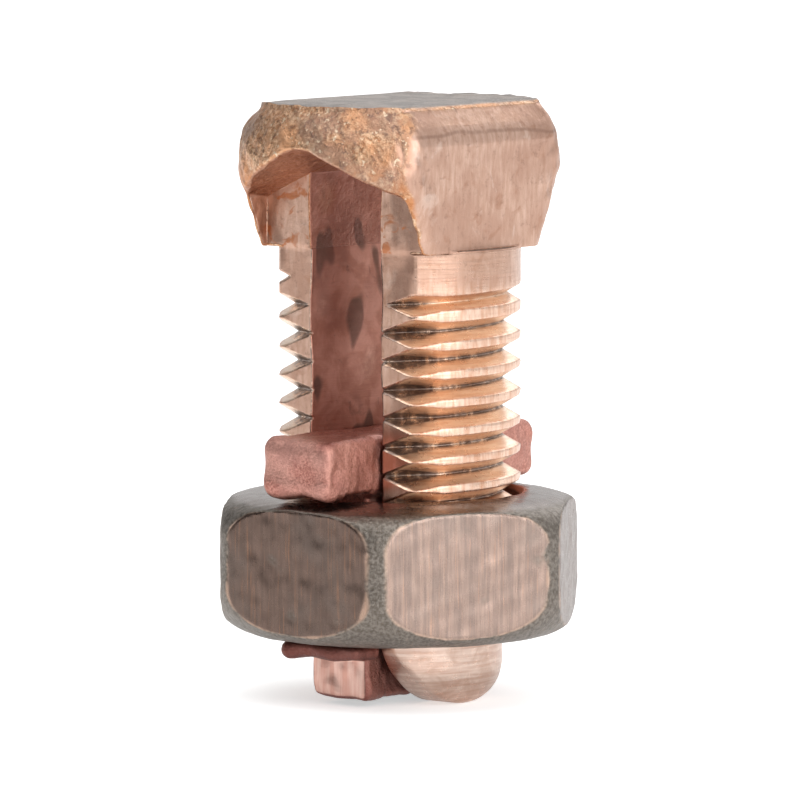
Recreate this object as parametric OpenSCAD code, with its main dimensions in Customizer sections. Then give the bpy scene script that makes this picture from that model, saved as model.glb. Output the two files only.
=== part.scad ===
// Split bolt connector: a slotted bolt, its nut and the bar that clamps the wires.
// The legs stand on the ground plane, the slot opens along Y and the flats face X.

/* [Thread] */
// Outside diameter of the thread on the legs
thread_d = 13.5; // [13.2:0.1:13.8]
// Distance from one thread to the next
pitch = 1.5875; // [1.5:0.0125:1.65]
// Depth of the thread, from crest to root
thread_depth = 0.97; // [0.9:0.01:1]
// Width of the flat at the bottom of each groove
root_flat = 0.05; // [0.04:0.01:0.1]
// Gap between nut thread and bolt thread, square to the flank
thread_gap = 0.07; // [0.06:0.01:0.09]

/* [Legs] */
// Thickness of the legs from front flat to back flat
leg_depth = 9.6; // [9.2:0.1:10]
// Width of the slot between the legs
slot_w = 5; // [4.8:0.1:5.4]
// Radius of the four long corners of the legs
leg_corner_r = 0.8; // [0.5:0.1:1]
// How far the plain tip stands inside the bottom of the grooves
tip_ease = 0.04; // [0.02:0.01:0.12]
// Height of the plain tip
tip_h = 4.5; // [4:0.1:5]
// Extra radius of the rounded foot of each leg, over half the leg's thickness
foot_more = 0.15; // [0.1:0.05:0.6]
// Radius of the rounding at the outer edge of each foot
foot_edge_r = 2.2; // [1.8:0.1:2.6]
// Height at which that rounding begins
foot_edge_h = 1.3; // [1:0.1:1.5]
// Distance below the head at which the thread begins to run out
runout_h = 4.45; // [4.2:0.05:5.2]
// Distance below the head at which the last groove leaves the neck
smooth_h = 1.35; // [1.2:0.05:1.7]

/* [Head] */
// Overall height of the bolt
bolt_h = 33.5; // [33:0.5:36]
// Height of the head
head_h = 8.15; // [8:0.05:8.4]
// Radius of the upper round of the head
head_round_r = 4.33; // [4.2:0.05:4.5]
// Distance of that round's centre from the axis
head_round_x = 4.77; // [4.6:0.01:4.9]
// Depth of that round's centre below the top
head_round_z = 3.2; // [3.1:0.05:3.3]
// Slope of the lower cone of the head, from the axis
head_cone_deg = 18; // [16:1:19]
// Radius of the thin rim at the top edge
rim_r = 7.9; // [7.8:0.05:7.95]
// Height of that rim
rim_h = 0.22; // [0.1:0.02:0.3]
// Width across the side flats at the top edge
flat_top_w = 10.4; // [10:0.1:11]
// Width across the side flats at the crease
flat_crease_w = 12.75; // [12.4:0.05:13]
// Width across the side flats at the underside
flat_low_w = 12.2; // [11.9:0.1:12.4]
// Depth of the crease below the top
crease_z = 1.6; // [1.2:0.1:2]

/* [Saddle] */
// Depth of the saddle's ridge below the top of the head
saddle_z = 3.1; // [2.9:0.1:3.6]
// Slope of each side of the saddle
saddle_deg = 24; // [20:1:28]
// Rounding along the saddle's ridge
saddle_r = 3; // [2:0.1:3.2]
// Rise of the mouth towards the outside
mouth_deg = 9.5; // [6:0.5:12]
// Metal left between the mouth and each side flat, at the underside
cheek_w = 0.45; // [0.4:0.05:0.6]

/* [Nut] */
// Width of the nut across its flats
nut_af = 19.05; // [18.6:0.05:19.4]
// Diameter of the barrel that rounds the nut's corners
nut_barrel_d = 21.4; // [21.1:0.1:21.8]
// Height of the nut
nut_h = 8.05; // [7.6:0.05:8.4]
// Height of the nut's underside above the feet
nut_z = 3.7; // [3.6:0.1:6]
// Turn of the nut on the bolt
nut_turn = 2; // [0:1:60]
// Rounding of the upper edge
nut_top_r = 2.4; // [2:0.1:2.8]
// Rounding of the lower edge
nut_low_r = 2.9; // [2.4:0.1:3]
// Radius at which the turned bevel of the top begins
nut_face_r = 7.6; // [7.5:0.1:8]
// Slope of that bevel
nut_face_deg = 11; // [8:1:14]
// Width of the countersink at each end of the thread
sink_w = 0.25; // [0.1:0.05:0.35]

/* [Pressure bar] */
// Length of the wings from end to end
wing_l = 18.8; // [17.5:0.1:20]
// Height of the wings
wing_h = 3.35; // [2.8:0.05:3.8]
// Rounding of the wing ends, seen from the side
wing_end_r = 1; // [0.6:0.1:1.2]
// Rounding of the wings' long edges
wing_edge_r = 0.5; // [0.3:0.1:0.7]
// Gap between the bar and each leg
bar_gap = 0.16; // [0.12:0.02:0.2]
// Gap between the neck's corners and the nut's bore
neck_ease = 0.19; // [0.15:0.01:0.4]
// Thickness of the neck
neck_w = 4; // [3.6:0.1:4.1]
// Rounding of the neck's corners
neck_r = 0.35; // [0.2:0.05:0.5]
// Distance from the nut's underside to the end of the neck
neck_out = 3.3; // [3:0.1:3.4]
// How far each lip reaches past the nut's countersink
lip_catch = 0.15; // [0.1:0.05:0.4]
// Width of each lip
lip_w = 5.4; // [4.8:0.1:5.6]
// Thickness of each lip
lip_h = 0.9; // [0.7:0.1:1.1]
// Rounding of the lips
lip_r = 0.4; // [0.2:0.05:0.44]
// Running gap between the nut and the bar, above and below
nut_gap = 0.05; // [0.03:0.01:0.1]
// Height of the relief under each wing, beside the neck
relief_h = 0.3; // [0.2:0.05:0.5]

/* [Hidden] */
$fn = 96;

crest_z0 = 1.306;            // height of a crest where it faces +X
turn_steps = 36;             // facets in one turn of the thread
step_turn = 0.37;            // keeps the facets' corners off the axes
flank_deg = 30;              // flank angle, half of the thread's 60
over = 0.2;                  // how far the cutters stand outside what they cut
cone_bite = 0.02;            // how far the head's cone cuts into its round
cut_gap = 0.012;             // left between one turn of the nut's cutter and the next
cut_in = 0.05;               // how far that cutter starts inside the bore
thin = 0.03;                 // half the flat left between two roundings
bury = 1;                    // how far a solid or cutter runs on into its neighbour
far = 60;                    // larger than the whole part

crest_r = thread_d / 2;
root_r = crest_r - thread_depth;
flank = tan(flank_deg);
leg_y = leg_depth / 2;
slot_x = slot_w / 2;
tip_r = root_r - tip_ease;
foot_r = leg_y + foot_more;
head_z = bolt_h - head_h;
runout_z = head_z - runout_h;
neck_z = head_z - smooth_h;
saddle_top = bolt_h - saddle_z;
mouth_w = flat_low_w - 2 * cheek_w;

// Nut thread: its ridges fill the bolt's grooves, less the gap on each flank.
axial_gap = thread_gap / cos(flank_deg);
nut_root_r = crest_r + 0.1;
nut_cut_r = root_r + (axial_gap + cut_gap - root_flat / 2) / flank;
nut_bore_r = nut_cut_r + cut_in;
nut_top = nut_z + nut_h;
sink_r = nut_root_r + sink_w;

bar_w = slot_w - 2 * bar_gap;
wing_z = nut_top + nut_gap;
neck_low = nut_z - neck_out;
neck_l = 2 * sqrt(pow(nut_bore_r - neck_ease, 2) - pow(neck_w / 2, 2));
lip_top = nut_z - nut_gap;
lip_y = sink_r + lip_catch;

// ---- Thread cutter ---------------------------------------------------------

// Half the width of the bolt's groove at radius r, for a groove bottom at radius b.
function groove_half(r, b) = root_flat / 2 + (r - b) * flank;

// One section of the cutter at angle a: r1 and r2 are radii, h1 and h2 half widths.
function section(a, z, r1, h1, r2, h2) = [
    [r1 * cos(a), r1 * sin(a), z - h1],
    [r1 * cos(a), r1 * sin(a), z + h1],
    [r2 * cos(a), r2 * sin(a), z + h2],
    [r2 * cos(a), r2 * sin(a), z - h2]
];

// Triangles along a sweep of n sections with four corners each, and its two ends.
function sweep_faces(n) = concat(
    [for (i = [0:n - 2], k = [0:3], t = [0:1])
        let (m = (k + 1) % 4, a = 4 * i, b = 4 * (i + 1))
        t == 0 ? [a + k, b + k, b + m] : [a + k, b + m, a + m]],
    [[0, 1, 2], [0, 2, 3]],
    let (e = 4 * (n - 1)) [[e, e + 2, e + 1], [e, e + 3, e + 2]]
);

// The bolt's groove grows shallow over its last turns, then leaves the neck.
shallow = 0.27;
function groove_bottom(z) =
    z < runout_z ? root_r :
    z < runout_z + pitch ? root_r + shallow * (z - runout_z) / pitch :
    z < neck_z - pitch / 4 ? root_r + shallow :
    root_r + shallow + (crest_r + 0.04 - root_r - shallow) * (z - neck_z + pitch / 4) * 4 / pitch;

module bolt_groove() {
    z0 = crest_z0 + pitch / 2;
    first = ceil((tip_h - 0.4 - z0) / pitch * turn_steps);
    last = floor((neck_z - z0) / pitch * turn_steps);
    rings = [for (i = [first:last])
        let (t = (i + step_turn) / turn_steps, z = z0 + t * pitch, b = groove_bottom(z))
        section(360 * t, z, b, root_flat / 2,
                crest_r + over, groove_half(crest_r + over, b))];
    polyhedron([for (s = rings, p = s) p], sweep_faces(len(rings)), convexity = 20);
}

module nut_groove() {
    first = floor((nut_z - pitch - crest_z0) / pitch * turn_steps);
    last = ceil((nut_top + pitch - crest_z0) / pitch * turn_steps);
    half = function (r) pitch / 2 - groove_half(r, root_r) + axial_gap;
    rings = [for (i = [first:last])
        let (t = (i + step_turn) / turn_steps)
        section(360 * t, crest_z0 + t * pitch,
                nut_cut_r, half(nut_cut_r), nut_root_r, half(nut_root_r))];
    polyhedron([for (s = rings, p = s) p], sweep_faces(len(rings)), convexity = 20);
}

// ---- Split bolt --------------------------------------------------------------

// Section of the shank at radius r: a disc with flats front and back, corners rounded.
module shank_section(r) {
    cy = leg_y - leg_corner_r;
    cx = sqrt(pow(r - leg_corner_r, 2) - cy * cy);
    touch_y = cy * r / (r - leg_corner_r);
    intersection() {
        circle(r);
        square([2 * r + 1, 2 * touch_y], center = true);
    }
    square([2 * cx, leg_depth], center = true);
    for (sx = [-1, 1], sy = [-1, 1])
        translate([sx * cx, sy * cy]) circle(leg_corner_r);
}

module shank(r, z1, z2) {
    translate([0, 0, z1]) linear_extrude(z2 - z1) shank_section(r);
}

// Half profile of the foot and of the cone that leads into the thread.
module tip_profile() {
    out = crest_r + bury;
    translate([0, -bury]) square([tip_r - foot_edge_r, foot_edge_h + bury]);
    translate([tip_r - foot_edge_r, foot_edge_h]) circle(foot_edge_r);
    polygon([[0, foot_edge_h], [tip_r, foot_edge_h], [tip_r, tip_h],
             [out, tip_h + out - tip_r], [out, bolt_h], [0, bolt_h]]);
}

// Outline of a leg seen along X, with its rounded foot.
module foot_outline() {
    translate([0, foot_r]) circle(foot_r);
    translate([-foot_r, foot_r]) square([2 * foot_r, bolt_h]);
}

// Half profile of the head, top at 0: rim, upper round and lower cone.
module head_profile() {
    slope = tan(head_cone_deg);
    px = head_round_x + head_round_r * cos(head_cone_deg) - cone_bite;
    pz = head_round_z + head_round_r * sin(head_cone_deg);
    translate([0, -rim_h]) square([rim_r, rim_h]);
    intersection() {
        union() {
            translate([head_round_x, -head_round_z]) circle(head_round_r);
            translate([0, -head_round_z - 1]) square([head_round_x, head_round_z + 1]);
            translate([0, -head_h]) square([far, head_h - pz]);
        }
        polygon([[0, 0], [px + pz * slope, 0],
                 [px - (head_h - pz) * slope, -head_h], [0, -head_h]]);
    }
}

// Side flats of the head with their bevel, seen along Y.
module head_flats() {
    polygon([[-flat_top_w / 2, 0], [flat_top_w / 2, 0],
             [flat_crease_w / 2, -crease_z], [flat_low_w / 2, -head_h],
             [-flat_low_w / 2, -head_h], [-flat_crease_w / 2, -crease_z]]);
}

// Gable with a rounded ridge at the origin, w wide and open downwards.
module gable(w) {
    drop = saddle_r * (1 / cos(saddle_deg) - 1);
    cz = drop - saddle_r / cos(saddle_deg);
    tx = saddle_r * sin(saddle_deg);
    tz = cz + saddle_r * cos(saddle_deg);
    low = tz - (w / 2 - tx) * tan(saddle_deg);
    intersection() {
        union() {
            translate([0, cz]) circle(saddle_r);
            polygon([[-w / 2, -far], [w / 2, -far], [w / 2, low], [tx, tz], [0, cz],
                     [-tx, tz], [-w / 2, low]]);
        }
        translate([-w / 2, -far]) square([w, 2 * far]);
    }
}

module upright(l) {
    rotate([90, 0, 0]) linear_extrude(l) children();
}

// The mouth cut into the front of the head, rising outwards.
module mouth() {
    intersection() {
        translate([0, -leg_y, saddle_top])
            rotate([-mouth_deg, 0, 0])
            translate([0, leg_y, 0])
            upright(far) gable(mouth_w);
        translate([-far / 2, -far - leg_y, 0]) cube([far, far, far]);
    }
}

// The round shank with its flats, feet and thread, before it is slotted.
module threaded_shank() {
    difference() {
        intersection() {
            rotate_extrude() tip_profile();
            rotate([90, 0, 90]) translate([0, 0, -far / 2])
                linear_extrude(far) foot_outline();
            shank(crest_r, 0, head_z + bury);
        }
        bolt_groove();
    }
}

module split_bolt() {
    color("#b87a5a")
    difference() {
        union() {
            intersection() {
                translate([0, 0, bolt_h]) rotate_extrude() head_profile();
                translate([0, far / 2, bolt_h]) upright(far) head_flats();
            }
            threaded_shank();
        }
        mouth();
        mirror([0, 1, 0]) mouth();
        translate([0, far / 2, saddle_top]) upright(far) gable(slot_w);
    }
}

// ---- Hex nut -----------------------------------------------------------------

// Half profile of the nut's barrel, from its underside up.
module nut_profile() {
    r = nut_barrel_d / 2;
    translate([0, nut_low_r]) square([r, nut_h - nut_low_r - nut_top_r]);
    square([r - nut_low_r, nut_h]);
    translate([0, nut_h / 2]) square([r - nut_top_r, nut_h / 2]);
    translate([r - nut_low_r, nut_low_r]) circle(nut_low_r);
    translate([r - nut_top_r, nut_h - nut_top_r]) circle(nut_top_r);
}

module hex_nut() {
    fall = (far - nut_face_r) * tan(nut_face_deg);
    color("#6e6258")
    difference() {
        intersection() {
            translate([0, 0, nut_z]) rotate_extrude() nut_profile();
            translate([0, 0, nut_z]) rotate(nut_turn)
                cylinder(d = nut_af / cos(30), h = nut_h, $fn = 6);
            translate([0, 0, nut_top]) rotate_extrude()
                polygon([[0, 0], [nut_face_r, 0], [far, -fall], [far, -far], [0, -far]]);
        }
        translate([0, 0, nut_z - bury]) cylinder(r = nut_bore_r, h = nut_h + 2 * bury);
        translate([0, 0, nut_z]) sink();
        translate([0, 0, nut_top]) mirror([0, 0, 1]) sink();
        nut_groove();
    }
}

// Countersink that opens downwards from the face at 0.
module sink() {
    depth = sink_r - nut_bore_r;
    translate([0, 0, -bury])
        cylinder(r1 = sink_r + bury, r2 = nut_bore_r, h = depth + bury);
}

// ---- Pressure bar ------------------------------------------------------------

// Rectangle with round corners, centred.
module round_rect(w, h, r) {
    square([w - 2 * r, h], center = true);
    square([w, h - 2 * r], center = true);
    for (sx = [-1, 1], sy = [-1, 1])
        translate([sx * (w / 2 - r), sy * (h / 2 - r)]) circle(r);
}

// Block x by y by z with its lower face at 0, rounded seen along each axis.
module round_block(x, y, z, rx, ry, rz) {
    intersection() {
        linear_extrude(z) round_rect(x, y, rz);
        translate([0, 0, z / 2]) rotate([90, 0, 90]) translate([0, 0, -x / 2])
            linear_extrude(x) round_rect(y, z, rx);
        translate([0, y / 2, z / 2]) upright(y) round_rect(x, z, ry);
    }
}

// One lip: its tongue leaves the neck and widens once it is clear of the legs.
module lip() {
    first = leg_y + bar_gap;
    mid = (first + lip_y) / 2;
    r = min(lip_r, lip_h / 2 - thin);
    translate([0, 0, lip_top - lip_h]) {
        translate([0, mid, 0]) round_block(lip_w, lip_y - first, lip_h, r, r, r);
        translate([0, mid / 2, 0]) round_block(neck_w, mid, lip_h, r, r, r);
    }
}

module pressure_bar() {
    reach = sink_r + bury / 2;
    color("#b5695b")
    difference() {
        union() {
            translate([0, 0, wing_z])
                round_block(bar_w, wing_l, wing_h, wing_end_r, wing_edge_r, wing_edge_r);
            translate([0, 0, neck_low])
                round_block(neck_w, neck_l, wing_z - neck_low + wing_h / 2, neck_r, neck_r, neck_r);
            lip();
            mirror([0, 1, 0]) lip();
        }
        for (s = [-1, 1])
            translate([-far / 2, s > 0 ? neck_l / 2 : -reach, wing_z - bury])
                cube([far, reach - neck_l / 2, relief_h + bury]);
    }
}

split_bolt();
hex_nut();
pressure_bar();
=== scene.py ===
"""Looks of the split bolt connector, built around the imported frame.

Lengths in the form functions are millimetres; Blender's objects are in metres.
"""

import math

import bpy
import numpy as np
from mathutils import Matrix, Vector


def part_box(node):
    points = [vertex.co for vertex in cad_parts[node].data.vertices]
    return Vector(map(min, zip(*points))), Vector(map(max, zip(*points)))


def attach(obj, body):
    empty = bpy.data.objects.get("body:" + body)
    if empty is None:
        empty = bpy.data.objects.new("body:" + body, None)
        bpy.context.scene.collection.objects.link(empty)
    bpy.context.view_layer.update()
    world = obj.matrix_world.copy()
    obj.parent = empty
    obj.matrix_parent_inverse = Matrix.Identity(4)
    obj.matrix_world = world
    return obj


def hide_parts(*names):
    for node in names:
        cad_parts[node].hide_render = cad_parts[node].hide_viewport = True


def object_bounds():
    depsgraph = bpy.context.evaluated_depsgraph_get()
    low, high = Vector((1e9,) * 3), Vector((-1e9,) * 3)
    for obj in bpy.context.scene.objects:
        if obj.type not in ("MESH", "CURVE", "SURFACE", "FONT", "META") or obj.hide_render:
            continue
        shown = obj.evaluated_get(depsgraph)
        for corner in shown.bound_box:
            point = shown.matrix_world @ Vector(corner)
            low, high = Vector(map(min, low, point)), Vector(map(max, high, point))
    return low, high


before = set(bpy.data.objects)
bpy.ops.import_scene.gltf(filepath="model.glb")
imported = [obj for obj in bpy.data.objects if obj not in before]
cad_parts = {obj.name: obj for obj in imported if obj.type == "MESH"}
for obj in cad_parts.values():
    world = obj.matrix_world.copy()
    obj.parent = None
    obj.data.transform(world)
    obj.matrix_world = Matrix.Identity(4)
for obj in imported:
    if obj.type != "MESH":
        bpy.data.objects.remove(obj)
cad_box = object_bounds()
MM = 0.001


def node_box(name):
    """Lowest and highest corner of a solid, in millimetres."""
    lo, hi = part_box(name)
    return np.array(lo) / MM, np.array(hi) / MM


# ---- Sizes, as the solids have them --------------------------------------------

_, bolt_hi = node_box("split_bolt")
nut_lo, nut_hi = node_box("hex_nut")
bar_lo, bar_hi = node_box("pressure_bar")

BOLT_H = bolt_hi[2]
CREST_R = bolt_hi[0]
PITCH = 1.5875
CREST_Z0 = 1.306
THREAD_DEPTH = 0.97
ROOT_R = CREST_R - THREAD_DEPTH
ROOT_FLAT = 0.05
FLANK = math.tan(math.radians(30))
FLANK_COS = math.cos(math.radians(30))
LEG_Y = 4.8
SLOT_X = 2.5
LEG_CORNER = 0.8
TIP_R = ROOT_R - 0.04
TIP_H = 4.5
FOOT_R = LEG_Y + 0.15
FOOT_EDGE_R = 3.2
FOOT_EDGE_H = 2.3
HEAD_Z = BOLT_H - 8.15
RUNOUT_Z = HEAD_Z - 4.45
NECK_Z = HEAD_Z - 1.35
SHALLOW = 0.27
GROOVE_EASE = 0.5
GROOVE_EASE_FROM, GROOVE_EASE_OVER = 0.5, 0.25
HEAD_ROUND = (4.77, 3.2, 4.33)
HEAD_SLOPE = math.radians(18)
RIM_R, RIM_H = 7.9, 0.22
FLAT_TOP, FLAT_CREASE, FLAT_LOW = 10.4 / 2, 12.75 / 2, 12.2 / 2
CREASE_Z = 1.6
SADDLE_TOP = BOLT_H - 3.1
SADDLE_SLOPE, SADDLE_R = math.radians(24), 3
MOUTH_SLOPE, MOUTH_X = math.radians(9.5), FLAT_LOW - 0.45

NUT_Z, NUT_TOP = nut_lo[2], nut_hi[2]
NUT_AF, NUT_BARREL = 19.05 / 2, nut_hi[0]
NUT_TURN = 2
NUT_TOP_R, NUT_LOW_R = 2.4, 2.9
NUT_FACE_R, NUT_FACE_SLOPE = 7.6, math.radians(11)
NUT_BORE, NUT_ROOT = ROOT_R + 0.167, CREST_R + 0.1
SINK_R = NUT_ROOT + 0.25
THREAD_GAP = 0.07 / FLANK_COS

BAR_W = 2 * SLOT_X - 0.32
WING_Y, WING_TOP, WING_H = bar_hi[1], bar_hi[2], 3.35
WING_Z = WING_TOP - WING_H
NECK_Y, NECK_W, NECK_LOW = 5.4, 4.0, bar_lo[2]
LIP_TOP, LIP_H, LIP_W, LIP_Y = NUT_Z - 0.05, 0.9, 5.4, SINK_R + 0.15
LIP_LOW = LIP_TOP - LIP_H

# The leg on the -X side ends this much higher than the other.
SHORT_LEG = LIP_LOW - 0.1


# ---- Form functions: negative inside, roughly the distance in millimetres -------

def both(a, b, r=0.0):
    """Where a and b overlap, with its outer edge rounded by r."""
    if r == 0:
        return np.maximum(a, b)
    return (np.minimum(np.maximum(a, b), -r)
            + np.hypot(np.maximum(a + r, 0), np.maximum(b + r, 0)))


def either(a, b, r=0.0):
    """a and b together, with a fillet r in the inner corner."""
    return -both(-a, -b, r)


def without(a, b, r=0.0):
    return both(a, -b, r)


rng = np.random.default_rng(11)


def waves(length, count=9):
    """A smooth random field of about unit size, with waves of the given length."""
    k = rng.normal(size=(count, 3))
    k *= (2 * math.pi / length * rng.uniform(0.6, 1.5, (count, 1))
          / np.linalg.norm(k, axis=1, keepdims=True))
    phase = rng.uniform(0, 2 * math.pi, count)

    def field(x, y, z):
        total = 0
        for (kx, ky, kz), p in zip(k, phase):
            total = total + np.sin(kx * x + ky * y + kz * z + p)
        return total / math.sqrt(count / 2)

    return field


lumps, grit, edge_wave = waves(2.6), waves(0.9), waves(4.5)


def roof(x, z):
    """The saddle's gable with its round ridge at the origin, solid below."""
    s, c = math.sin(SADDLE_SLOPE), math.cos(SADDLE_SLOPE)
    cz = SADDLE_R * (1 / c - 1) - SADDLE_R / c
    plane = np.abs(x) * s + (z - cz) * c - SADDLE_R
    return np.where(np.abs(x) * c < (z - cz) * s, np.hypot(x, z - cz) - SADDLE_R, plane)


def shank_section(x, y):
    """A disc with flats front and back, its four corners rounded."""
    rho = np.hypot(x, y)
    ax, ay = np.abs(x), np.abs(y)
    cy = LEG_Y - LEG_CORNER
    cx = math.sqrt((CREST_R - LEG_CORNER) ** 2 - cy * cy)
    inner = np.maximum(rho - (CREST_R - LEG_CORNER), ay - cy)
    wedge = (ay > cy) & (ax > cx) & (ax * cy < ay * cx)
    return np.where(wedge, np.hypot(ax - cx, ay - cy), inner) - LEG_CORNER


def groove_bottom(z):
    """Radius at the bottom of the groove: it grows shallow, then leaves the neck."""
    ramp = CREST_R + 0.04 - ROOT_R - SHALLOW
    out = np.clip((z - NECK_Z + PITCH / 4) * 4 / PITCH, 0, None)
    return ROOT_R + SHALLOW * np.clip((z - RUNOUT_Z) / PITCH, 0, 1) + ramp * out


def thread_groove(x, y, z, rho):
    """The helical groove of the bolt, negative inside it: deeper beside the legs' flats."""
    turn = (z - CREST_Z0) / PITCH - np.arctan2(y, x) / (2 * math.pi) - 0.5
    s = (turn - np.round(turn)) * PITCH
    beside = np.clip((np.abs(y) / (rho + 0.01) - GROOVE_EASE_FROM) / GROOVE_EASE_OVER, 0, 1)
    within = np.clip(np.minimum(NECK_Z - z, z - TIP_H) / PITCH, 0, 1)
    b = groove_bottom(z - s) - GROOVE_EASE * beside * within
    side = (np.abs(s) - ROOT_FLAT / 2 - (rho - b) * FLANK) * FLANK_COS
    return both(side, b - rho)


def tip(rho, z, up):
    """The turned end of a leg, where up is the height above the leg's own end."""
    edge = np.where((up < FOOT_EDGE_H) & (rho > TIP_R - FOOT_EDGE_R),
                    np.hypot(rho - TIP_R + FOOT_EDGE_R, up - FOOT_EDGE_H) - FOOT_EDGE_R,
                    rho - TIP_R)
    cone = (rho - TIP_R - (z - TIP_H)) * math.sqrt(0.5)
    return np.minimum(edge, cone)


def foot(y, z):
    """The round that the feet end in, seen along X."""
    return np.where(z < FOOT_R, np.hypot(y, z - FOOT_R), np.abs(y)) - FOOT_R


def head(x, y, z):
    """The forged head: a round skirt with a flat and a bevel on either side."""
    rho, t = np.hypot(x, y), z - BOLT_H
    cx, cz, r = HEAD_ROUND
    px, pz = cx + r * math.cos(HEAD_SLOPE), cz + r * math.sin(HEAD_SLOPE)
    ball = np.where(rho > cx, np.hypot(rho - cx, t + cz), np.abs(t + cz)) - r
    cone = (rho - px - (t + pz) * math.tan(HEAD_SLOPE)) * math.cos(HEAD_SLOPE)
    d = np.where(t > -pz, ball, cone)
    d = either(d, both(rho - RIM_R, -(t + RIM_H)), 0.12)
    d = both(d, t, 0.06)
    ax = np.abs(x)
    s1 = (FLAT_CREASE - FLAT_TOP) / CREASE_Z
    s2 = (FLAT_CREASE - FLAT_LOW) / (BOLT_H - HEAD_Z - CREASE_Z)
    d = both(d, (ax - FLAT_TOP + t * s1) / math.hypot(1, s1), 0.3)
    d = both(d, (ax - FLAT_CREASE - (t + CREASE_Z) * s2) / math.hypot(1, s2), 0.4)
    return both(d, HEAD_Z - z, 0.14)


def mouth(x, y, z):
    """Both mouths: the ceiling rises outwards from the legs' faces."""
    out = np.abs(y) - LEG_Y
    up = -out * math.sin(MOUTH_SLOPE) + (z - SADDLE_TOP) * math.cos(MOUTH_SLOPE)
    d = both(roof(x, up), np.abs(x) - MOUTH_X, 0.25)
    return np.maximum(d, -out)


def bolt(x, y, z):
    """The whole bolt: shank, thread, head, mouths and slot."""
    rho = np.hypot(x, y)
    up = np.where(x < 0, z - SHORT_LEG, z)
    shank = both(shank_section(x, y), tip(rho, z, up), 0.08)
    shank = both(shank, foot(y, up), 0.12)
    shank = both(shank, z - HEAD_Z - 0.1)
    shank = without(shank, thread_groove(x, y, z, rho), 0.05)
    d = either(shank, head(x, y, z), 0.1)
    d = without(d, mouth(x, y, z), 0.22)
    wobble = 0.05 * edge_wave(x * 0.3, y, z)
    slot = np.maximum(roof(x, z - SADDLE_TOP), np.abs(x) - SLOT_X - wobble)
    return without(d, slot, 0.16)


def bolt_rough(x, y, z):
    """How far the forged skin of the bolt stands out or in."""
    top = np.clip((z - HEAD_Z - 0.3) / 0.5, 0, 1)
    round_part = top * np.clip((np.abs(y) - LEG_Y) / 0.8, 0, 1)
    size = (0.15 + 0.85 * round_part) * (0.35 + 0.65 * top)
    return (0.035 * lumps(x, y, z) + 0.02 * grit(x, y, z)) * size


def nut_hex(x, y):
    """The six flats."""
    angles = [math.radians(NUT_TURN + 30 + 60 * k) for k in range(3)]
    sides = [np.abs(x * math.cos(a) + y * math.sin(a)) - NUT_AF for a in angles]
    return np.maximum(np.maximum(sides[0], sides[1]), sides[2])


def nut(x, y, z):
    """The nut: a barrel with six flats, a countersunk bore and its thread."""
    rho = np.hypot(x, y)
    d = both(rho - NUT_BARREL, z - NUT_TOP, NUT_TOP_R)
    d = both(d, NUT_Z - z, NUT_LOW_R)
    bevel = ((rho - NUT_FACE_R) * math.sin(NUT_FACE_SLOPE)
             + (z - NUT_TOP) * math.cos(NUT_FACE_SLOPE))
    d = both(d, bevel, 0.5)
    d = both(d, nut_hex(x, y), 0.14)
    lead = (rho - SINK_R + np.minimum(z - NUT_Z, NUT_TOP - z)) * math.sqrt(0.5)
    hole = np.minimum(rho - NUT_BORE, lead)
    turn = (z - CREST_Z0) / PITCH - np.arctan2(y, x) / (2 * math.pi)
    s = np.abs(turn - np.round(turn)) * PITCH
    half = PITCH / 2 - ROOT_FLAT / 2 - (rho - ROOT_R) * FLANK + THREAD_GAP
    groove = both((s - half) * FLANK_COS, rho - NUT_ROOT)
    return without(d, np.minimum(hole, groove), 0.06)


def nut_rough(x, y, z):
    return 0.012 * lumps(x, y, z) + 0.006 * grit(x, y, z)


def block(x, y, z, half, r):
    """A block about the origin with rounded edges."""
    d = both(np.abs(x) - half[0], np.abs(y) - half[1], r)
    return both(d, np.abs(z) - half[2], r)


def bar(x, y, z):
    """The pressure bar: wings, the neck through the nut and the lips below it."""
    ay = np.abs(y)
    wing_mid = (WING_Z + WING_TOP) / 2
    ends = both(ay - WING_Y, np.abs(z - wing_mid) - WING_H / 2, 1.0)
    wing = both(both(np.abs(x) - BAR_W / 2, ay - WING_Y, 0.5), ends, 0.45)
    relief = both(z - WING_Z - 0.3, both(NECK_Y - ay, ay - SINK_R - 0.5))
    wing = without(wing, relief, 0.2)
    neck_mid = (NECK_LOW + WING_Z + 1) / 2
    neck = block(x, y, z - neck_mid, (NECK_W / 2, NECK_Y, neck_mid - NECK_LOW), 0.35)
    start = LEG_Y + 0.16
    lip_z = z - LIP_TOP + LIP_H / 2
    half = (LIP_W / 2, (LIP_Y - start) / 2, LIP_H / 2)
    lip = block(x, ay - (start + LIP_Y) / 2, lip_z, half, 0.4)
    tongue = block(x, ay - start / 2, lip_z, (NECK_W / 2, start / 2 + 0.5, LIP_H / 2), 0.3)
    d = either(wing, neck, 0.15)
    return either(d, either(lip, tongue, 0.1), 0.15)


def bar_rough(x, y, z):
    """The pressed skin of the bar, calmer where the lips meet the nut."""
    away = np.clip(np.abs(z - LIP_TOP) / 0.6, 0.1, 1)
    return (0.045 * lumps(x, y, z) + 0.012 * grit(x, y, z)) * away


# ---- From a form function to a mesh ----------------------------------------------

def slope(field, p, step=0.01):
    """Unit gradient of a field at the points p."""
    g = np.empty_like(p)
    for i in range(3):
        d = np.zeros(3)
        d[i] = step
        g[:, i] = field(*(p + d).T) - field(*(p - d).T)
    return g / np.maximum(np.linalg.norm(g, axis=1, keepdims=True), 1e-9)


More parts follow.
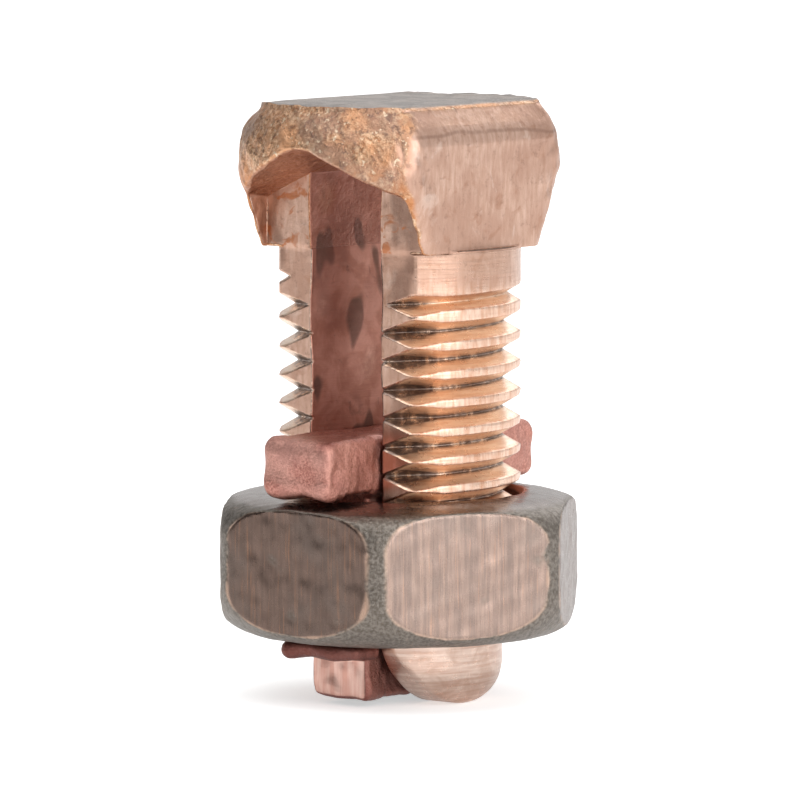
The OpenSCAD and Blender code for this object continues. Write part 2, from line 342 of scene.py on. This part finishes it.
def crossings(values, lo, h):
    """Where the grid's edges cross the surface, and the four cells round each edge."""
    n = values.shape
    inside = values < 0
    points, owners = [], []
    for ax in range(3):
        u, v = (ax + 1) % 3, (ax + 2) % 3
        one, two = [slice(None)] * 3, [slice(None)] * 3
        one[ax], two[ax] = slice(0, -1), slice(1, None)
        at = np.argwhere(inside[tuple(one)] != inside[tuple(two)])
        at = at[(at[:, u] > 0) & (at[:, v] > 0) & (at[:, u] < n[u] - 1) & (at[:, v] < n[v] - 1)]
        after = at.copy()
        after[:, ax] += 1
        fa, fb = values[tuple(at.T)], values[tuple(after.T)]
        p = lo + h * at
        p[:, ax] += h * fa / (fa - fb)
        cells = []
        for du, dv in ((0, 0), (-1, 0), (-1, -1), (0, -1)):
            c = at.copy()
            c[:, u] += du
            c[:, v] += dv
            cells.append((c[:, 0] * n[1] + c[:, 1]) * n[2] + c[:, 2])
        cells = np.stack(cells, 1)
        cells[fa > 0] = cells[fa > 0][:, ::-1]
        points.append(p)
        owners.append(cells)
    return np.concatenate(points), np.concatenate(owners)


def contour(field, lo, hi, h):
    """Dual contouring: points and triangles of the surface where the field is zero."""
    axes = [np.arange(lo[i], hi[i] + h, h) for i in range(3)]
    n = [len(a) for a in axes]
    values = np.empty(n, np.float32)
    for k in range(0, n[2], 24):
        grid = np.meshgrid(axes[0], axes[1], axes[2][k:k + 24], indexing="ij")
        values[:, :, k:k + 24] = field(*grid)
    points, owners = crossings(values, lo, h)
    normals = slope(field, points)
    ids, quads = np.unique(owners, return_inverse=True)
    quads = quads.reshape(owners.shape)
    flat = quads.ravel()
    pts, nrm = np.repeat(points, 4, axis=0), np.repeat(normals, 4, axis=0)

    def add(w):
        return np.bincount(flat, weights=w, minlength=len(ids))

    count = add(np.ones(len(flat)))[:, None]
    mean = np.stack([add(pts[:, i]) for i in range(3)], 1) / count
    rhs = (nrm * (pts - mean[flat])).sum(1)
    a = np.stack([[add(nrm[:, i] * nrm[:, j]) for j in range(3)] for i in range(3)])
    a = a.transpose(2, 0, 1) + 0.05 * np.eye(3) * count[:, :, None] / 3
    b = np.stack([add(nrm[:, i] * rhs) for i in range(3)], 1)
    verts = mean + np.linalg.solve(a, b[:, :, None])[:, :, 0]
    cell = np.stack([ids // (n[1] * n[2]), ids // n[2] % n[1], ids % n[2]], 1)
    corner = lo + h * cell
    verts = np.clip(verts, corner - 0.1 * h, corner + 1.1 * h)
    mids = [(verts[quads[:, i]] + verts[quads[:, i + 2]]) / 2 for i in range(2)]
    short = np.abs(field(*mids[0].T)) <= np.abs(field(*mids[1].T))
    tris = np.where(short[:, None],
                    quads[:, [0, 1, 2, 0, 2, 3]], quads[:, [1, 2, 3, 1, 3, 0]])
    return verts, tris.reshape(-1, 3)


def mesh_from(name, verts, tris):
    """A Blender mesh from points in millimetres and triangles."""
    mesh = bpy.data.meshes.new(name)
    mesh.vertices.add(len(verts))
    mesh.vertices.foreach_set("co", (verts * MM).ravel())
    mesh.loops.add(tris.size)
    mesh.loops.foreach_set("vertex_index", tris.ravel().astype(np.int32))
    mesh.polygons.add(len(tris))
    mesh.polygons.foreach_set("loop_start", np.arange(0, tris.size, 3, dtype=np.int32))
    mesh.update(calc_edges=True)
    mesh.validate()
    return mesh


def piece(name, field, rough, node, body, h, most):
    """The dressed form of one solid: contoured, thinned out, roughened and shaded."""
    lo, hi = node_box(node)
    verts, tris = contour(field, lo - 3 * h, hi + 3 * h, h)
    obj = bpy.data.objects.new(name, mesh_from(name, verts, tris))
    bpy.context.scene.collection.objects.link(obj)
    print(name, len(tris), "triangles contoured")
    if len(tris) > most:
        thin = obj.modifiers.new("thin", "DECIMATE")
        thin.ratio = most / len(tris)
        graph = bpy.context.evaluated_depsgraph_get()
        mesh = bpy.data.meshes.new_from_object(obj.evaluated_get(graph))
        obj.modifiers.clear()
        obj.data = mesh
    mesh = obj.data
    co = np.empty(len(mesh.vertices) * 3)
    mesh.vertices.foreach_get("co", co)
    co = co.reshape(-1, 3) / MM
    co += slope(field, co) * rough(*co.T)[:, None]
    mesh.vertices.foreach_set("co", (co * MM).ravel())
    idx = np.empty(len(mesh.loops), np.int32)
    mesh.loops.foreach_get("vertex_index", idx)
    corner = co[idx].reshape(-1, 3, 3)
    inward = corner.mean(1, keepdims=True) - corner
    size = np.linalg.norm(inward, axis=2, keepdims=True)
    at = (corner + inward * np.minimum(0.25, 0.03 / np.maximum(size, 1e-6))).reshape(-1, 3)
    normals = slope(lambda x, y, z: field(x, y, z) - rough(x, y, z), at, 0.02)
    mesh.polygons.foreach_set("use_smooth", np.ones(len(mesh.polygons), bool))
    mesh.normals_split_custom_set(normals.tolist())
    mesh.update()
    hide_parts(node)
    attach(obj, body)
    return obj


# ---- Materials ---------------------------------------------------------------------

def rgb(text):
    """A colour given as six hexadecimal digits, as linear light."""
    c = [int(text[i:i + 2], 16) / 255 for i in (0, 2, 4)]
    return tuple(v / 12.92 if v <= 0.04045 else ((v + 0.055) / 1.055) ** 2.4 for v in c) + (1,)


class Look:
    """A material's node tree, with short names for the nodes it is made of."""

    def __init__(self, name):
        self.mat = bpy.data.materials.new(name)
        self.mat.use_nodes = True
        self.tree = self.mat.node_tree
        self.tree.nodes.clear()
        self.bsdf = self.node("ShaderNodeBsdfPrincipled")
        out = self.node("ShaderNodeOutputMaterial")
        self.tree.links.new(self.bsdf.outputs[0], out.inputs[0])
        coords = self.node("ShaderNodeTexCoord")
        scaled = self.node("ShaderNodeVectorMath", operation="SCALE")
        self.tree.links.new(coords.outputs["Object"], scaled.inputs[0])
        scaled.inputs["Scale"].default_value = 1 / MM
        self.p = scaled.outputs[0]
        self.x, self.y, self.z = self.split(self.p)
        self.nx, self.ny, self.nz = self.split(coords.outputs["Normal"])
        self.ax, self.ay = self.do("ABSOLUTE", self.x), self.do("ABSOLUTE", self.y)
        self.rho = self.do("SQRT", self.plus(self.times(self.x, self.x),
                                             self.times(self.y, self.y)))

    def node(self, kind, **settings):
        n = self.tree.nodes.new(kind)
        for key, value in settings.items():
            setattr(n, key, value)
        return n

    def put(self, socket, value):
        if isinstance(value, bpy.types.NodeSocket):
            self.tree.links.new(value, socket)
        else:
            socket.default_value = value

    def split(self, vector):
        n = self.node("ShaderNodeSeparateXYZ")
        self.put(n.inputs[0], vector)
        return n.outputs

    def join(self, x, y, z):
        n = self.node("ShaderNodeCombineXYZ")
        for socket, value in zip(n.inputs, (x, y, z)):
            self.put(socket, value)
        return n.outputs[0]

    def do(self, operation, *values):
        n = self.node("ShaderNodeMath", operation=operation)
        for socket, value in zip(n.inputs, values):
            self.put(socket, value)
        return n.outputs[0]

    def times(self, first, *others):
        for v in others:
            first = self.do("MULTIPLY", first, v)
        return first

    def plus(self, first, *others):
        for v in others:
            first = self.do("ADD", first, v)
        return first

    def step(self, value, low, high):
        """0 up to low and 1 from high on, smooth between; low may be the larger."""
        n = self.node("ShaderNodeMapRange", interpolation_type="SMOOTHSTEP")
        for socket, v in zip(n.inputs, (value, low, high)):
            self.put(socket, v)
        return n.outputs[0]

    def noise(self, size, detail=3.0, rough=0.5, at=None, warp=0.0):
        """Noise whose main grains are about size millimetres."""
        n = self.node("ShaderNodeTexNoise")
        self.put(n.inputs["Vector"], at or self.p)
        n.inputs["Scale"].default_value = 1 / size
        n.inputs["Detail"].default_value = detail
        n.inputs["Roughness"].default_value = rough
        n.inputs["Distortion"].default_value = warp
        return n.outputs[0]

    def mix(self, share, a, b):
        n = self.node("ShaderNodeMix", data_type="RGBA")
        self.put(n.inputs[0], share)
        for socket, value in ((n.inputs[6], a), (n.inputs[7], b)):
            self.put(socket, rgb(value) if isinstance(value, str) else value)
        return n.outputs[2]

    def blend(self, share, a, b):
        n = self.node("ShaderNodeMix", data_type="FLOAT")
        self.put(n.inputs[0], share)
        self.put(n.inputs[2], a)
        self.put(n.inputs[3], b)
        return n.outputs[0]

    def finish(self, colour, roughness, height, depth):
        bump = self.node("ShaderNodeBump")
        self.put(bump.inputs["Height"], height)
        bump.inputs["Distance"].default_value = depth * MM
        self.put(self.bsdf.inputs["Normal"], bump.outputs[0])
        self.put(self.bsdf.inputs["Base Color"], colour)
        self.put(self.bsdf.inputs["Roughness"], roughness)
        self.bsdf.inputs["Metallic"].default_value = 1
        return self.mat


def bolt_look():
    """Forged copper alloy: rough round of the head, calm flats, cut thread, slot walls with
    painted shade and stains.
    """
    k = Look("forged_copper_alloy")

    # Where each kind of surface is, as a share from 0 to 1.
    up = k.step(k.z, HEAD_Z - 0.06, HEAD_Z + 0.02)
    low = k.do("SUBTRACT", 1, up)
    nx, ny = k.do("ABSOLUTE", k.nx), k.do("ABSOLUTE", k.ny)
    in_slot = k.times(k.step(k.ax, SLOT_X + 0.22, SLOT_X + 0.06), k.step(nx, 0.5, 0.8))
    leg_flat = k.times(k.step(ny, 0.9, 0.97), k.step(k.ay, LEG_Y + 0.2, LEG_Y + 0.08))
    side = k.times(up, k.step(nx, 0.6, 0.85), k.do("SUBTRACT", 1, in_slot))
    ceiling = k.times(up, k.step(k.nz, -0.5, -0.75), k.step(k.z, HEAD_Z + 0.3, HEAD_Z + 0.6))
    crest = k.times(low, k.step(k.rho, CREST_R - 0.22, CREST_R - 0.1),
                    k.step(k.z, NECK_Z + 0.1, NECK_Z))
    neck = k.times(low, k.step(k.z, RUNOUT_Z + 1.2, NECK_Z + 0.1),
                   k.step(k.rho, ROOT_R, CREST_R))
    root = k.times(low, k.step(k.rho, ROOT_R + 0.2, ROOT_R + 0.04))
    feet = k.step(k.z, TIP_H + 1.2, TIP_H)

    # Grain, spots, clouds, upright streaks and turning marks.
    fine, speck = k.noise(0.22, 4, 0.65), k.noise(0.5, 5, 0.7)
    patch, cloud = k.noise(1.7, 4, 0.6, warp=0.6), k.noise(4.5, 3, 0.55)
    streak = k.noise(0.3, 4, 0.65, at=k.join(k.x, k.y, k.times(k.z, 0.2)))
    turned = k.noise(0.16, 3, 0.6, at=k.join(k.times(k.x, 0.05), k.times(k.y, 0.05), k.z))
    stain = k.noise(1.1, 3, 0.55, warp=0.8)
    spots = k.noise(1.9, 1, 0.35, at=k.join(k.x, k.y, k.times(k.z, 0.55)))

    # The forged skin, browner and rusted towards the mouths.
    skin = k.mix(k.step(fine, 0.35, 0.66), "b8825e", "f0c8a4")
    skin = k.mix(k.times(k.step(patch, 0.42, 0.62), 0.8), skin, "d8a078")
    skin = k.mix(k.times(k.step(speck, 0.52, 0.66), 0.8), skin, "7a5a48")
    skin = k.mix(k.times(k.step(cloud, 0.5, 0.64), 0.5), skin, "9a8178")
    skin = k.mix(k.times(k.step(k.noise(0.35, 2, 0.5), 0.64, 0.7), 0.8), skin, "f2dcc0")
    rust = k.times(k.step(k.z, SADDLE_TOP + 0.6, SADDLE_TOP - 1.5), k.step(patch, 0.4, 0.6))
    skin = k.mix(k.times(rust, 0.6), skin, "c07a48")

    # The calm flats, with a faint seam along the crease of the head's sides.
    pale = k.mix(k.step(streak, 0.3, 0.75), "c09a86", "d8b6a4")
    pale = k.mix(k.times(k.step(cloud, 0.42, 0.62), 0.7), pale, "b8917e")
    pale = k.mix(k.times(k.step(speck, 0.54, 0.75), 0.6), pale, "927060")
    pale = k.mix(k.times(k.step(stain, 0.56, 0.72), 0.5), pale, "a87a62")
    pale = k.mix(k.times(k.step(patch, 0.6, 0.75), 0.5), pale, "e4ccbe")
    seam = k.plus(k.z, CREASE_Z - BOLT_H, k.times(k.plus(cloud, -0.5), 0.8))
    seam = k.times(side, k.step(k.do("ABSOLUTE", seam), 0.16, 0.02), k.step(patch, 0.3, 0.5))
    pale = k.mix(k.times(seam, 0.45), pale, "8c6a5a")

    # The slot's walls, painted darker as shade between the legs, with stains and spots; and the
    # legs' flats.
    slot_shade_and_stains = k.mix(k.step(patch, 0.4, 0.65), "b27c6a", "c69180")
    slot_shade_and_stains = k.mix(k.times(k.step(stain, 0.6, 0.75), 0.5), slot_shade_and_stains, "6f5248")
    slot_shade_and_stains = k.mix(k.times(k.step(spots, 0.6, 0.66), 0.75), slot_shade_and_stains, "5f463c")
    slot_shade_and_stains = k.mix(k.times(k.step(cloud, 0.5, 0.65), 0.4), slot_shade_and_stains, "94665a")
    leg = k.mix(k.times(k.step(spots, 0.58, 0.7), 0.6), pale, "7a5c4e")
    leg = k.mix(k.times(k.step(stain, 0.56, 0.66), up, 0.7), leg, "b06a40")

    # The thread's flanks, roots and crests, and the turned feet.
    flank = k.mix(k.step(turned, 0.35, 0.65), "e4c0a4", "f2d8c2")
    flank = k.mix(k.times(root, k.step(speck, 0.3, 0.55), 0.75), flank, "5c5052")
    bright = k.mix(k.step(streak, 0.3, 0.7), "d8a88c", "f2d4c0")
    ripple = k.mix(k.step(turned, 0.35, 0.65), "c8a898", "dcc4b6")
    ripple = k.mix(k.times(k.step(patch, 0.5, 0.65), 0.4), ripple, "b08c78")

    colour = k.mix(up, flank, skin)
    colour = k.mix(crest, colour, bright)
    colour = k.mix(k.times(neck, 0.9), colour, pale)
    colour = k.mix(k.times(feet, 0.9), colour, ripple)
    colour = k.mix(side, colour, pale)
    colour = k.mix(leg_flat, colour, leg)
    dull_top = k.mix(k.step(patch, 0.4, 0.6), "8c827c", "a69a92")
    colour = k.mix(k.step(k.nz, 0.85, 0.97), colour, dull_top)
    colour = k.mix(ceiling, colour, k.mix(k.step(fine, 0.4, 0.6), "b07a5e", "c69478"))
    # The slot's walls take the painted shade and their stains.
    colour = k.mix(in_slot, colour, slot_shade_and_stains)

    calm = k.plus(side, leg_flat)
    rough = k.blend(up, 0.3, 0.35)
    rough = k.blend(crest, rough, 0.3)
    rough = k.blend(calm, rough, 0.36)
    rough = k.blend(in_slot, rough, 0.5)
    rough = k.plus(rough, k.times(k.plus(speck, -0.5), 0.3))
    bumps = k.blend(up, k.times(turned, 0.25), k.plus(fine, k.times(speck, 1.2)))
    bumps = k.blend(calm, bumps, k.plus(k.times(streak, 0.25), k.times(speck, 0.3)))
    return k.finish(colour, rough, bumps, 0.07)


def nut_look():
    """Dark patina with brushed flats, the one towards the key lamp painted paler as painted light
    and the other five darker as painted shade, and edges worn bright.
    """
    k = Look("dark_nut_patina")
    hex_d = 0
    for i in range(3):
        a = math.radians(NUT_TURN + 30 + 60 * i)
        across = k.plus(k.times(k.x, math.cos(a)), k.times(k.y, math.sin(a)))
        hex_d = k.do("MAXIMUM", hex_d, k.do("ABSOLUTE", across))
    on_flat = k.step(hex_d, NUT_AF - 0.06, NUT_AF - 0.02)
    round_d = k.plus(k.rho, -NUT_BARREL)

    def corner(r, t):
        """Distance from the barrel's round corner of radius r, where t is past its end."""
        side = k.do("MAXIMUM", k.plus(round_d, r), 0)
        end = k.do("MAXIMUM", k.plus(t, r), 0)
        return k.plus(k.do("SQRT", k.plus(k.times(side, side), k.times(end, end))), -r)

    barrel = k.do("MAXIMUM", corner(NUT_TOP_R, k.plus(k.z, -NUT_TOP)),
                  corner(NUT_LOW_R, k.do("SUBTRACT", NUT_Z, k.z)))
    gap = k.do("MAXIMUM", k.times(barrel, -1), k.do("SUBTRACT", NUT_AF, hex_d))
    wear = k.noise(0.8, 3, 0.6)
    worn = k.times(k.step(gap, k.plus(k.times(wear, 0.06), 0.07), 0.02), k.step(wear, 0.3, 0.55))

    fine, speck, cloud = k.noise(0.2, 4, 0.65), k.noise(0.5, 4, 0.7), k.noise(3.5, 3, 0.5)
    streak = k.noise(0.3, 4, 0.7, at=k.join(k.x, k.y, k.times(k.z, 0.045)))
    thin_streak = k.noise(0.12, 2, 0.6, at=k.join(k.x, k.y, k.times(k.z, 0.03)))
    face = k.mix(k.step(streak, 0.38, 0.62), "7a6860", "8c766c")
    face = k.mix(k.times(k.step(thin_streak, 0.56, 0.72), 0.6), face, "c08e70")
    face = k.mix(k.times(k.step(cloud, 0.45, 0.65), 0.45), face, "7d7671")
    body = k.mix(k.step(fine, 0.35, 0.65), "6a625a", "8c847c")
    body = k.mix(k.times(k.step(speck, 0.6, 0.72), 0.6), body, "b09c8c")
    turned = k.step(k.nz, 0.9, 0.97)
    body = k.mix(turned, body, "8a7e78")
    # Painted light and shade: the flat towards the key lamp is painted paler and the other five
    # darker.
    painted_lit_face_angle = math.radians(NUT_TURN - 30)
    painted_lit_face = k.plus(k.times(k.x, math.cos(painted_lit_face_angle)), k.times(k.y, math.sin(painted_lit_face_angle)))
    painted_lit_face = k.step(painted_lit_face, NUT_AF - 0.4, NUT_AF - 0.2)
    face = k.mix(k.times(painted_lit_face, 0.5), face, k.mix(k.step(streak, 0.35, 0.65), "a8948a", "c4aa9c"))
    # Painted shade on the five flats away from the key lamp.
    face = k.mix(k.times(k.do("SUBTRACT", 1, painted_lit_face), 0.55), face, "5a4a42")
    colour = k.mix(on_flat, body, face)
    colour = k.mix(k.times(worn, 0.5), colour, "d8b6a0")
    bore = k.step(k.rho, SINK_R + 0.1, SINK_R - 0.1)
    colour = k.mix(bore, colour, "b98468")
    rough = k.blend(on_flat, 0.4, 0.28)
    rough = k.blend(turned, rough, 0.25)
    rough = k.plus(rough, k.times(k.plus(speck, -0.5), 0.25))
    brushed = k.plus(k.times(streak, 0.6), k.times(thin_streak, 0.3))
    bumps = k.blend(on_flat, k.plus(fine, speck), brushed)
    bumps = k.blend(turned, bumps, 0.1)
    return k.finish(colour, rough, bumps, 0.045)


def bar_look():
    """Pressed rose copper, painted darker below the nut as painted shade and paler on its side
    faces as painted light, with sheared ends on the neck.
    """
    k = Look("pressed_copper")
    fine, speck = k.noise(0.14, 4, 0.7), k.noise(0.45, 5, 0.7)
    patch, cloud = k.noise(1.5, 3, 0.55, warp=0.5), k.noise(3.5, 3, 0.5)
    colour = k.mix(k.step(fine, 0.35, 0.65), "a4685c", "d49a8c")
    colour = k.mix(k.times(k.step(patch, 0.5, 0.65), 0.5), colour, "9a6058")
    colour = k.mix(k.times(k.step(speck, 0.6, 0.72), 0.5), colour, "7a504c")
    colour = k.mix(k.times(k.step(cloud, 0.5, 0.66), 0.45), colour, "e0b0a2")
    # Masks for the painted shade under the nut: below it, and the lips.
    below = k.step(k.z, LIP_TOP + 0.1, LIP_TOP)
    lip = k.times(below, k.step(k.z, LIP_LOW - 0.1, LIP_LOW))
    # Painted light: the side faces across X are painted paler.
    colour = k.mix(k.times(k.step(k.do("ABSOLUTE", k.nx), 0.7, 0.9), 0.3), colour, "dca494")
    # Painted shade: the bar is painted darker below the nut and darker still on its lips.
    colour = k.mix(k.plus(k.times(below, 0.6), k.times(lip, 0.25)), colour, "6c403a")
    end = k.times(k.step(k.do("ABSOLUTE", k.ny), 0.8, 0.95), k.step(k.z, LIP_LOW, LIP_LOW - 0.15))
    shear = k.noise(0.3, 3, 0.6, at=k.join(k.x, k.y, k.times(k.z, 0.08)))
    colour = k.mix(end, colour, k.mix(k.step(shear, 0.35, 0.65), "dca898", "ecc6b8"))
    rough = k.plus(k.times(k.plus(speck, -0.5), 0.35), 0.36)
    bumps = k.blend(end, k.plus(k.times(fine, 0.9), speck), k.times(fine, 0.2))
    return k.finish(colour, rough, bumps, 0.06)


# ---- The pieces ----------------------------------------------------------------------

MOST = 190000
coarse = 1
bolt_obj = piece("forged_bolt", bolt, bolt_rough, "split_bolt", "bolt", 0.13 * coarse, MOST)
nut_obj = piece("dressed_nut", nut, nut_rough, "hex_nut", "nut", 0.15 * coarse, MOST)
bar_obj = piece("dressed_bar", bar, bar_rough, "pressure_bar", "bar", 0.12 * coarse, MOST)
bolt_obj.data.materials.append(bolt_look())
nut_obj.data.materials.append(nut_look())
bar_obj.data.materials.append(bar_look())


# ---- Stage, lights and camera -----------------------------------------------------------

AZIMUTH, ELEVATION, DISTANCE = 39.0, 5.4, 0.434
LENS, SENSOR = 349.0, 36.0
AIM_Z = 0.01669


def direction(azimuth, elevation):
    """Unit vector towards a place at this azimuth, where 0 is the front, and elevation."""
    a, e = math.radians(azimuth), math.radians(elevation)
    return Vector((math.sin(a) * math.cos(e), -math.cos(a) * math.cos(e), math.sin(e)))


def look_at(obj, place, target):
    obj.location = place
    obj.rotation_euler = (target - place).to_track_quat("-Z", "Y").to_euler()


lens = bpy.data.cameras.new("camera")
lens.lens, lens.sensor_width = LENS, SENSOR
lens.clip_start, lens.clip_end = 0.01, 20
camera = bpy.data.objects.new("camera", lens)
bpy.context.scene.collection.objects.link(camera)
aim = Vector((0, 0, AIM_Z))
look_at(camera, aim + direction(AZIMUTH, ELEVATION) * DISTANCE, aim)
bpy.context.scene.camera = camera


def lamp(name, azimuth, elevation, away, size, brightness):
    """A square soft box whose surface has the given brightness, where 1 is white."""
    data = bpy.data.lights.new(name, "AREA")
    data.shape = "SQUARE"
    data.size = size
    data.energy = brightness * math.pi * size * size
    obj = bpy.data.objects.new(name, data)
    bpy.context.scene.collection.objects.link(obj)
    look_at(obj, aim + direction(azimuth, elevation) * away, aim)


lamp("key", AZIMUTH + 30, 14, 0.8, 0.8, 2.0)
lamp("top", AZIMUTH - 5, 68, 0.8, 0.6, 1.5)
lamp("rim", AZIMUTH + 150, 35, 0.9, 0.6, 1.1)
lamp("fill", AZIMUTH - 72, 50, 0.8, 0.5, 1.6)


def stage_tree(holder, output):
    """An empty node tree for the floor's material or the world."""
    holder.use_nodes = True
    holder.node_tree.nodes.clear()
    return holder.node_tree, holder.node_tree.nodes.new(output)


def math_node(tree, operation, a, b):
    """The output of a maths node; a number is set on the node and a socket is linked."""
    n = tree.nodes.new("ShaderNodeMath")
    n.operation = operation
    for socket, value in zip(n.inputs, (a, b)):
        if isinstance(value, float):
            socket.default_value = value
        else:
            tree.links.new(value, socket)
    return n.outputs[0]


paper_mat = bpy.data.materials.new("pale_floor")
tree, out = stage_tree(paper_mat, "ShaderNodeOutputMaterial")
paper = tree.nodes.new("ShaderNodeBsdfDiffuse")
paper.inputs[0].default_value = (0.9, 0.9, 0.9, 1)
glow = tree.nodes.new("ShaderNodeEmission")
path = tree.nodes.new("ShaderNodeLightPath")
seen = math_node(tree, "MULTIPLY", path.outputs["Is Camera Ray"], 1.5)
seen = math_node(tree, "ADD", seen, path.outputs["Is Glossy Ray"])
tree.links.new(math_node(tree, "MULTIPLY", seen, 0.35), glow.inputs["Strength"])
total = tree.nodes.new("ShaderNodeAddShader")
tree.links.new(paper.outputs[0], total.inputs[0])
tree.links.new(glow.outputs[0], total.inputs[1])
tree.links.new(total.outputs[0], out.inputs[0])

bpy.ops.mesh.primitive_plane_add(size=6)
floor = bpy.context.object
floor.name = "floor"
floor.location = (0, 0, float(cad_box[0][2]))
floor.data.materials.append(paper_mat)

world = bpy.data.worlds.new("studio")
bpy.context.scene.world = world
tree, out = stage_tree(world, "ShaderNodeOutputWorld")
room = tree.nodes.new("ShaderNodeBackground")
coords = tree.nodes.new("ShaderNodeTexCoord")
lit_side = tree.nodes.new("ShaderNodeVectorMath")
lit_side.operation = "DOT_PRODUCT"
lit_side.inputs[1].default_value = direction(AZIMUTH + 120, 10)
tree.links.new(coords.outputs["Generated"], lit_side.inputs[0])
level = tree.nodes.new("ShaderNodeMapRange")
level.interpolation_type = "SMOOTHSTEP"
for i, v in ((1, -0.7), (2, 0.6), (3, 0.2), (4, 1.0)):
    level.inputs[i].default_value = v
tree.links.new(lit_side.outputs["Value"], level.inputs[0])
path = tree.nodes.new("ShaderNodeLightPath")
pick = math_node(tree, "MAXIMUM", level.outputs[0], path.outputs["Is Camera Ray"])
tree.links.new(pick, room.inputs["Strength"])
tree.links.new(room.outputs[0], out.inputs[0])

bpy.context.scene.view_settings.view_transform = "Standard"

bpy.context.view_layer.update()
